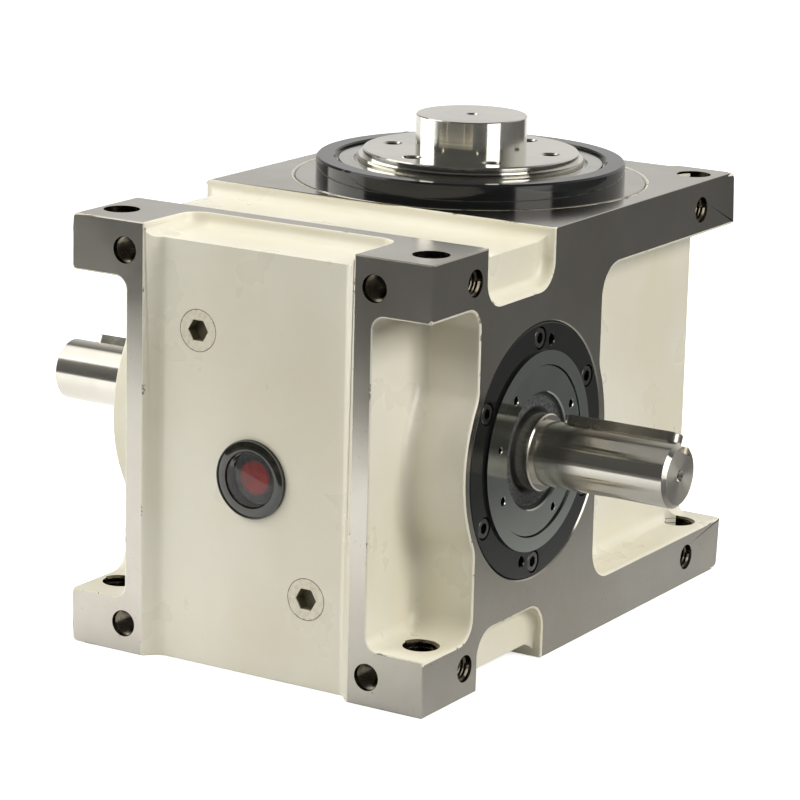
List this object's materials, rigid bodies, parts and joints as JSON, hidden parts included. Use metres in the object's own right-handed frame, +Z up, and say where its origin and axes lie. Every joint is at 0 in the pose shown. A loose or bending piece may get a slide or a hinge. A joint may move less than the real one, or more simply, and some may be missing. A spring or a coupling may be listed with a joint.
{
  "type": "cam indexer",
  "caption": "Globoidal roller-gear cam indexer in a cast housing with lugs, a keyed input shaft through both sides and a flanged output on top.",
  "frame": {"origin": "centre of the housing's base, midway between the side faces and the end faces", "axes": "+X along the input shaft, +Z up along the output axis, -Y towards the panel with the sight glass"},
  "size_m": [0.282, 0.24, 0.1957],
  "materials": {
    "cast_enamel": "ivory enamel on the cast faces, bare milled iron on the machined ones",
    "plug_enamel": "ivory enamel, semi-gloss",
    "machined_iron": "fine turned",
    "black_oxide": "oiled black oxide",
    "dark_steel": "dark oxide, satin",
    "ground_steel": "ground and polished",
    "key_steel": "drawn, satin",
    "cam_steel": "hardened and ground",
    "bearing_steel": "polished",
    "seal_rubber": "matte",
    "output_seal_grey": "satin",
    "black_plastic": "satin",
    "sight_glass": "clear",
    "sight_disc": "satin"
  },
  "bodies": {
    "housing": {"housing": "cast_enamel", "fill_plug": "plug_enamel", "drain_plug": "plug_enamel", "bearing_carrier": "machined_iron", "retainer_ring": "black_oxide", "output_seal": "output_seal_grey", "carrier_screws": "black_oxide", "lower_cover": "machined_iron", "lower_cover_screws": "black_oxide", "sight_bezel": "black_plastic", "sight_glass": "sight_glass", "sight_reflector": "sight_disc", "upper_outer_race": "bearing_steel", "lower_outer_race": "bearing_steel", "input_cover_left": "black_oxide", "input_cover_screws_left": "black_oxide", "adjusting_ring_left": "dark_steel", "input_seal_left": "seal_rubber", "input_outer_race_left": "bearing_steel", "input_cover_right": "black_oxide", "input_cover_screws_right": "black_oxide", "adjusting_ring_right": "dark_steel", "input_seal_right": "seal_rubber", "input_outer_race_right": "bearing_steel"},
    "input": {"input_shaft": "ground_steel", "shaft_key_left": "key_steel", "shaft_key_right": "key_steel", "cam": "cam_steel", "cam_key": "key_steel", "input_spacer": "key_steel", "input_inner_race_left": "bearing_steel", "input_inner_race_right": "bearing_steel"},
    "output": {"output_shaft": "ground_steel", "turret": "cam_steel", "turret_key": "key_steel", "output_spacer": "key_steel", "lock_washer": "key_steel", "locknut": "black_oxide", "follower_studs": "bearing_steel", "upper_inner_race": "bearing_steel", "lower_inner_race": "bearing_steel"},
    "input_rollers_left": {"input_bearing_rollers_left": "bearing_steel"},
    "input_rollers_right": {"input_bearing_rollers_right": "bearing_steel"},
    "upper_rollers": {"upper_bearing_rollers": "bearing_steel"},
    "lower_rollers": {"lower_bearing_rollers": "bearing_steel"},
    "follower_roller_1": {"follower_roller_1": "bearing_steel"},
    "follower_roller_2": {"follower_roller_2": "bearing_steel"},
    "follower_roller_3": {"follower_roller_3": "bearing_steel"},
    "follower_roller_4": {"follower_roller_4": "bearing_steel"},
    "follower_roller_5": {"follower_roller_5": "bearing_steel"},
    "follower_roller_6": {"follower_roller_6": "bearing_steel"},
    "follower_roller_7": {"follower_roller_7": "bearing_steel"},
    "follower_roller_8": {"follower_roller_8": "bearing_steel"}
  },
  "joints": [
    {"name": "input_spin", "type": "hinge", "parent": "housing", "child": "input", "pos_m": [0, -0.04, 0.085], "axis": [1, 0, 0], "continuous": true},
    {"name": "output_turn", "type": "hinge", "parent": "housing", "child": "output", "pos_m": [0, 0.04, 0.085], "axis": [0, 0, 1], "continuous": true},
    {"name": "input_rollers_left_orbit", "type": "hinge", "parent": "housing", "child": "input_rollers_left", "pos_m": [0, -0.04, 0.085], "axis": [1, 0, 0], "continuous": true},
    {"name": "input_rollers_right_orbit", "type": "hinge", "parent": "housing", "child": "input_rollers_right", "pos_m": [0, -0.04, 0.085], "axis": [1, 0, 0], "continuous": true},
    {"name": "upper_rollers_orbit", "type": "hinge", "parent": "housing", "child": "upper_rollers", "pos_m": [0, 0.04, 0.085], "axis": [0, 0, 1], "continuous": true},
    {"name": "lower_rollers_orbit", "type": "hinge", "parent": "housing", "child": "lower_rollers", "pos_m": [0, 0.04, 0.085], "axis": [0, 0, 1], "continuous": true},
    {"name": "follower_roller_1_spin", "type": "hinge", "parent": "output", "child": "follower_roller_1", "pos_m": [0.01856, -0.00481, 0.085], "axis": [0.3827, -0.9239, 0], "continuous": true},
    {"name": "follower_roller_2_spin", "type": "hinge", "parent": "output", "child": "follower_roller_2", "pos_m": [0.04481, 0.02144, 0.085], "axis": [0.9239, -0.3827, 0], "continuous": true},
    {"name": "follower_roller_3_spin", "type": "hinge", "parent": "output", "child": "follower_roller_3", "pos_m": [0.04481, 0.05856, 0.085], "axis": [0.9239, 0.3827, 0], "continuous": true},
    {"name": "follower_roller_4_spin", "type": "hinge", "parent": "output", "child": "follower_roller_4", "pos_m": [0.01856, 0.08481, 0.085], "axis": [0.3827, 0.9239, 0], "continuous": true},
    {"name": "follower_roller_5_spin", "type": "hinge", "parent": "output", "child": "follower_roller_5", "pos_m": [-0.01856, 0.08481, 0.085], "axis": [-0.3827, 0.9239, 0], "continuous": true},
    {"name": "follower_roller_6_spin", "type": "hinge", "parent": "output", "child": "follower_roller_6", "pos_m": [-0.04481, 0.05856, 0.085], "axis": [-0.9239, 0.3827, 0], "continuous": true},
    {"name": "follower_roller_7_spin", "type": "hinge", "parent": "output", "child": "follower_roller_7", "pos_m": [-0.04481, 0.02144, 0.085], "axis": [-0.9239, -0.3827, 0], "continuous": true},
    {"name": "follower_roller_8_spin", "type": "hinge", "parent": "output", "child": "follower_roller_8", "pos_m": [-0.01856, -0.00481, 0.085], "axis": [-0.3827, -0.9239, 0], "continuous": true}
  ],
  "couplings": [
    {"joint": "output_turn", "follows": "input_spin", "ratio": 0.125},
    {"joint": "input_rollers_left_orbit", "follows": "input_spin", "ratio": 0.424},
    {"joint": "input_rollers_right_orbit", "follows": "input_spin", "ratio": 0.424},
    {"joint": "upper_rollers_orbit", "follows": "input_spin", "ratio": 0.05425},
    {"joint": "lower_rollers_orbit", "follows": "input_spin", "ratio": 0.053125}
  ]
}
